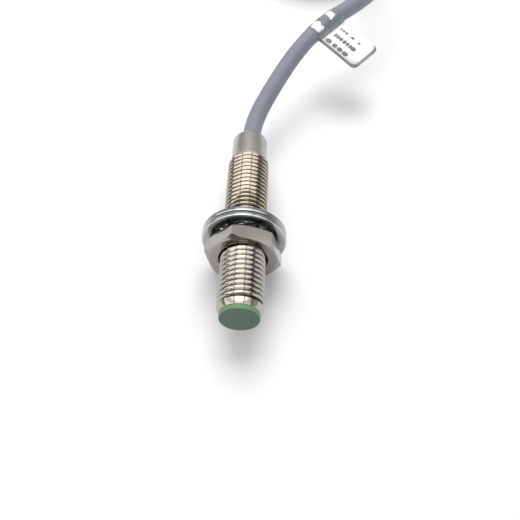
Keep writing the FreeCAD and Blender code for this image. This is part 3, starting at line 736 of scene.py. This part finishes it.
def make_flag(cable):
    """The flag: a backing sheet whose grey is painted shade along the paper's lower and far edges,
    the white paper on it, and three rows of plain printed blots.
    """
    along, away, up = label_frame()
    _, middle = label_spots(cable)
    root = middle - along * FILM_LENGTH / 2 + away * (CABLE_RADIUS + FILM_THICK + FLAG_GAP)

    def place(u, v, w):
        return root + along * u + away * v + up * (w - FLAG_CURL * (v / FLAG_REACH) ** 2)

    top = BACKING_THICK / 2
    # The backing sheet reaches past the paper, and its grey there is painted shade.
    backing = sheet("label_backing_and_shade", place, 0.0, 0.0, FLAG_REACH, -top, BACKING_THICK)
    paper = sheet("label_paper", place, PAPER_INSET, PAPER_START, FLAG_REACH - PAPER_INSET,
                  top, PAPER_THICK)
    blots, faces = [], []
    for u, tall, starts, widths in PRINT_ROWS:
        for v, wide in zip(starts, widths):
            first = len(blots)
            for level in (top + PAPER_THICK, top + PAPER_THICK + PRINT_THICK):
                for i in range(BLOT_CORNERS):
                    turn = 2 * math.pi * (i + 0.5) / BLOT_CORNERS
                    blots.append(place(u + tall * BLOT_HALF * math.sin(turn),
                                       PRINT_START + v + wide * BLOT_HALF * math.cos(turn),
                                       level) * MM)
            faces += shifted(rings_to_faces(2, BLOT_CORNERS), first)
    ink = mesh_piece("label_print", blots, faces, smooth=False)
    for piece, slot, finish in ((backing, "clear_film", LABEL_BACKING_AND_SHADE),
                                (paper, "label_paper", None), (ink, "label_paper", LABEL_INK)):
        dress(piece, slot)
        if finish:
            piece.data.materials[0] = finish
        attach(piece, "sensor")
        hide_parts("label_flag")
    return [backing, paper, ink]


# ---- ties and lead tips ----


def make_ties():
    """Two nylon ties: a band round each side of the hank, a square head and a cut tail."""
    wide, tall = 4 * CABLE_RADIUS, 2 * LAYERS * CABLE_RADIUS
    middle_z, middle_y = HANK_BASE + tall / 2, (HANK_NEAR + HANK_FAR) / 2
    reach = (OUTER_COLUMN + INNER_COLUMN) / 2
    half = TIE_WIDTH / 2
    # The band's section: lift off the cable, and place across the band, whose top is sunk.
    section = ((0.04, 1 - half), (0.12, -half), (TIE_THICK - 0.12, -half),
               (TIE_THICK, 0.2 - half), (TIE_THICK - 0.07, 0.45 - half),
               (TIE_THICK - 0.07, half - 0.45), (TIE_THICK, half - 0.2),
               (TIE_THICK - 0.12, half), (0.12, half), (0.04, half - 1))
    pieces = []
    for side, sign in (("left", -1), ("right", 1)):
        x = HANK_X + sign * reach
        stations = []
        for quarter in range(4):
            start = quarter * math.pi / 2
            hub_x = (wide / 2 - CABLE_RADIUS) * (1 if quarter in (0, 3) else -1)
            hub_z = (tall / 2 - CABLE_RADIUS) * (1 if quarter in (0, 1) else -1)
            for step in range(7):
                turn = start + math.pi / 2 * step / 6
                stations.append((hub_x, hub_z, Vector((math.cos(turn), 0, math.sin(turn)))))
        corners = []
        for hub_x, hub_z, out in stations:
            hub = Vector((x + hub_x, middle_y, middle_z + hub_z))
            corners += [(hub + Vector((0, y, 0)) + out * (CABLE_RADIUS + lift)) * MM
                        for lift, y in section]
        faces = rings_to_faces(len(stations), len(section), closed=True)
        pieces.append(mesh_piece(f"tie_{side}_band", corners, faces))
        head_x = x - sign * (wide / 2 + TIE_THICK + TIE_HEAD_DEPTH / 2)
        head = Vector((head_x, middle_y, middle_z + tall / 4))
        pieces.append(tie_head(f"tie_{side}_head", head, sign))
    for piece in pieces:
        dress(piece, "tie_black")
        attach(piece, "sensor")
        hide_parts("cable_ties")
    return pieces


def tie_head(name, place, sign):
    """A square head with a pocket that the tail comes up through, ridged and cut short."""
    body = bmesh.new()
    bmesh.ops.create_cube(body, size=1.0)
    bmesh.ops.scale(body, vec=(TIE_HEAD_DEPTH, TIE_HEAD, TIE_HEAD), verts=body.verts)
    ends = [f for f in body.faces if abs(f.normal.z) > 0.9]
    bmesh.ops.inset_individual(body, faces=ends, thickness=POCKET_RIM)
    for face in ends:
        sunk = (0, 0, -POCKET_DEPTH * math.copysign(1, face.normal.z))
        bmesh.ops.translate(body, verts=face.verts, vec=sunk)
    rows = []
    for i in range(TIE_TAIL_RIDGES + 1):
        z = TIE_HEAD / 2 - TIE_TAIL_SUNK + RIDGE_PITCH * i
        ridged = -TIE_TAIL_THICK / 2 - (RIDGE_HEIGHT if i % 2 else 0.0)
        plain, wide = TIE_TAIL_THICK / 2, TIE_TAIL_HALF_WIDTH
        rows.append([body.verts.new((x, y, z)) for x, y in (
            (ridged, -wide), (plain, -wide), (plain, wide), (ridged, wide))])
    for before, here in zip(rows, rows[1:]):
        for j in range(4):
            body.faces.new((before[j], before[(j + 1) % 4], here[(j + 1) % 4], here[j]))
    body.faces.new(rows[0])
    body.faces.new(rows[-1])
    bmesh.ops.scale(body, vec=(sign * MM, MM, MM), verts=body.verts)
    bmesh.ops.translate(body, vec=place * MM, verts=body.verts)
    bmesh.ops.recalc_face_normals(body, faces=body.faces)
    data = bpy.data.meshes.new(name)
    body.to_mesh(data)
    body.free()
    made = bpy.data.objects.new(name, data)
    bpy.context.scene.collection.objects.link(made)
    edge = made.modifiers.new("rounded_edges", "BEVEL")
    edge.width = TIE_HEAD_ROUNDING * MM
    edge.segments = 2
    edge.limit_method = "ANGLE"
    edge.angle_limit = math.radians(40)
    edge.harden_normals = True
    return made


def make_tips():
    """Stripped lead ends: six twisted and tinned strands round a seventh."""
    corners, faces = [], []
    for points in LEADS.values():
        last, before = Vector(points[-1]), Vector(points[-2])
        ahead = (last - before).normalized()
        side = ahead.cross(Vector((0, 0, 1))).normalized()
        up = side.cross(ahead)
        for strand in range(STRANDS):
            first = len(corners)
            orbit = 0.0 if strand == STRANDS - 1 else TIP_RADIUS - STRAND_RADIUS
            for i in range(TIP_STEPS):
                share = i / (TIP_STEPS - 1)
                turn = 2 * math.pi * (strand / (STRANDS - 1) + STRAND_TWIST * share)
                hub = last + ahead * ((TIP_LENGTH - STRAND_SHORTER * strand) * share)
                hub += (side * math.cos(turn) + up * math.sin(turn)) * orbit
                for j in range(STRAND_SIDES):
                    a = 2 * math.pi * j / STRAND_SIDES
                    out = (side * math.cos(a) + up * math.sin(a)) * STRAND_RADIUS
                    corners.append((hub + out) * MM)
            faces += shifted(rings_to_faces(TIP_STEPS, STRAND_SIDES), first)
    tips = dress(mesh_piece("tinned_strands", corners, faces), "tinned_copper")
    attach(tips, "sensor")
    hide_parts("tinned_tips")
    return tips


# ---- stage, light and camera ----


FLOOR_SIZE, FLOOR_COLOUR = 4.0, (0.835, 0.835, 0.84, 1.0)
# Places along Y, in metres, between which the floor that metal sees turns to a dark room.
FLOOR_FADE = (-0.42, -0.26)
KEY_PLACE, KEY_TARGET, KEY_SIZE, KEY_POWER = (-22, 265, 405), (5, 40, 0), 340, 1.76
SKY = (0.75, 0.75, 0.7575)
# What the metal reflects, as brightness by angle in degrees. Ahead of the sensing end there is a
# window with two narrow bars between dark frames. Its angle is that of the direction plus the
# one whose X and Z follow below, round Y from straight up, so that the bars fall at one place on
# the thread's crests and flanks. Behind there is a plain room, by the direction's own angle.
AHEAD = ((-180, 0.7), (-74, 0.75), (-62, 0.55), (-44, 0.42), (-41, 0.10), (-39, 1.5),
         (-14.2, 2.4), (-13.8, 0.08), (-11.6, 0.08), (-11.2, 3.0), (11.2, 3.0), (11.6, 0.08),
         (13.8, 0.08), (14.2, 2.4), (31, 1.5), (33, 0.10), (36, 0.42), (56, 0.55), (68, 0.7),
         (180, 0.7))
BEHIND = ((-180, 0.8), (-90, 0.85), (-70, 0.58), (-58, 0.58), (-30, 0.86), (0, 0.95), (25, 0.72),
          (55, 0.6), (72, 0.62), (90, 0.85), (180, 0.8))
BRIGHTEST, ROOM_TINT = 3.0, (1.0, 0.98, 0.945)
VIEW_X, VIEW_Z = 0.05, 0.79
# Ranges of a direction's parts. Y: where the window gives way to the room behind. Z: where the
# window dims to DIMMED, and where it is bright again overhead.
TO_BACK, DIMMING, DIMMED, OVERHEAD = (0.622, 0.642), (0.38, 0.50), 0.55, (0.68, 0.76)
# A dark patch low down and far ahead, by Z and by Y.
HORIZON, HORIZON_LOW, HORIZON_AHEAD = (0.23, 0.165, 0.15), (0.05, 0.10), (-0.85, -0.6)
CAMERA_PLACE, CAMERA_DOWN, CAMERA_TURN = (4.75, -46.44, 77.56), 52.91, 1.765
CAMERA_LENS, CAMERA_SENSOR = 38.93, 36.0


def make_stage():
    """A pale matt floor under the washers' rims. Far ahead, metal sees a dark room in its place."""
    bpy.ops.mesh.primitive_plane_add(size=FLOOR_SIZE, location=(0, 0, -AXIS_HEIGHT * MM))
    floor = bpy.context.object
    floor.name = "floor"
    made, tree, shader = new_material("floor")
    shader.inputs["Base Color"].default_value = FLOOR_COLOUR
    shader.inputs["Roughness"].default_value = 0.8
    far = spread(tree, parts_of(tree, own_place(tree))["Y"], 1.0, 0.0, *FLOOR_FADE)
    path = add(tree, "ShaderNodeLightPath")
    seen = calculate(tree, "MULTIPLY", far, path.outputs["Is Glossy Ray"])
    glow = add(tree, "ShaderNodeEmission", Color=(*HORIZON, 1.0), Strength=1.0)
    output = next(n for n in tree.nodes if n.type == "OUTPUT_MATERIAL")
    both = add(tree, "ShaderNodeMixShader", {0: seen, 1: shader.outputs[0], 2: glow.outputs[0]})
    tree.links.new(both.outputs[0], output.inputs["Surface"])
    floor.data.materials.append(made)


def make_key():
    """A square soft box, high up and behind the barrel."""
    data = bpy.data.lights.new("key", "AREA")
    data.shape = "RECTANGLE"
    data.size = data.size_y = KEY_SIZE * MM
    data.energy = KEY_POWER
    made = bpy.data.objects.new("key", data)
    place = Vector(KEY_PLACE)
    made.location = place * MM
    made.rotation_euler = (Vector(KEY_TARGET) - place).to_track_quat("-Z", "Y").to_euler()
    made.visible_glossy = False
    bpy.context.scene.collection.objects.link(made)


def by_angle(tree, right, up, stops):
    """Brightness by the angle of two parts of a direction, 0 at straight up."""
    angle = calculate(tree, "ARCTAN2", right, up)
    share = spread(tree, angle, 0.0, 1.0, -math.pi, math.pi)
    ramp = add(tree, "ShaderNodeValToRGB", {"Fac": share})
    row = ramp.color_ramp.elements
    while len(row) < len(stops):
        row.new(0.5)
    for stop, (degrees, value) in zip(row, stops):
        stop.position = (degrees + 180) / 360
        stop.color = (*[value / BRIGHTEST * tint for tint in ROOM_TINT], 1.0)
    lift = add(tree, "ShaderNodeVectorMath", {0: ramp.outputs["Color"]}, operation="SCALE")
    lift.inputs["Scale"].default_value = BRIGHTEST
    return lift.outputs["Vector"]


def make_room():
    """Even light from all round, and a room with a window for the metal to reflect."""
    world = bpy.data.worlds.new("room")
    bpy.context.scene.world = world
    world.use_nodes = True
    tree = world.node_tree
    back = next(n for n in tree.nodes if n.type == "BACKGROUND")
    axes = parts_of(tree, add(tree, "ShaderNodeTexCoord").outputs["Generated"])
    right = calculate(tree, "ADD", axes["X"], VIEW_X)
    up = calculate(tree, "ADD", axes["Z"], VIEW_Z)
    dim = calculate(tree, "MAXIMUM", spread(tree, axes["Z"], 1.0, DIMMED, *DIMMING),
                    spread(tree, axes["Z"], 0.0, 1.0, *OVERHEAD))
    window = add(tree, "ShaderNodeVectorMath",
                 {0: by_angle(tree, right, up, AHEAD), "Scale": dim}, operation="SCALE")
    room = blend_colours(tree, spread(tree, axes["Y"], 0.0, 1.0, *TO_BACK),
                         window.outputs["Vector"], by_angle(tree, axes["X"], axes["Z"], BEHIND))
    dark = calculate(tree, "MULTIPLY", spread(tree, axes["Z"], 1.0, 0.0, *HORIZON_LOW),
                     spread(tree, axes["Y"], 1.0, 0.0, *HORIZON_AHEAD))
    room = blend_colours(tree, dark, room, HORIZON)
    path = add(tree, "ShaderNodeLightPath")
    light = blend_colours(tree, path.outputs["Is Glossy Ray"], SKY, room)
    tree.links.new(light, back.inputs["Color"])
    back.inputs["Strength"].default_value = 1.0


def make_camera():
    """The camera looks down on the sensing end."""
    data = bpy.data.cameras.new("camera")
    data.lens = CAMERA_LENS
    data.sensor_width = CAMERA_SENSOR
    data.clip_start, data.clip_end = 0.005, 20.0
    made = bpy.data.objects.new("camera", data)
    made.location = Vector(CAMERA_PLACE) * MM
    made.rotation_euler = (math.radians(90 - CAMERA_DOWN), 0.0, math.radians(CAMERA_TURN))
    bpy.context.scene.collection.objects.link(made)
    bpy.context.scene.camera = made


# ---- the whole scene ----

bpy.context.scene.view_settings.view_transform = "Standard"
make_stage()
make_key()
make_room()
make_camera()
dress_cad_nodes()
make_barrel()
make_washer("front_lock_washer", "front_washer")
make_washer("rear_lock_washer", "rear_washer")
cable = make_cable()
on_cable = [make_film(cable), *make_flag(cable), *make_ties(), make_tips(), *make_leads()]
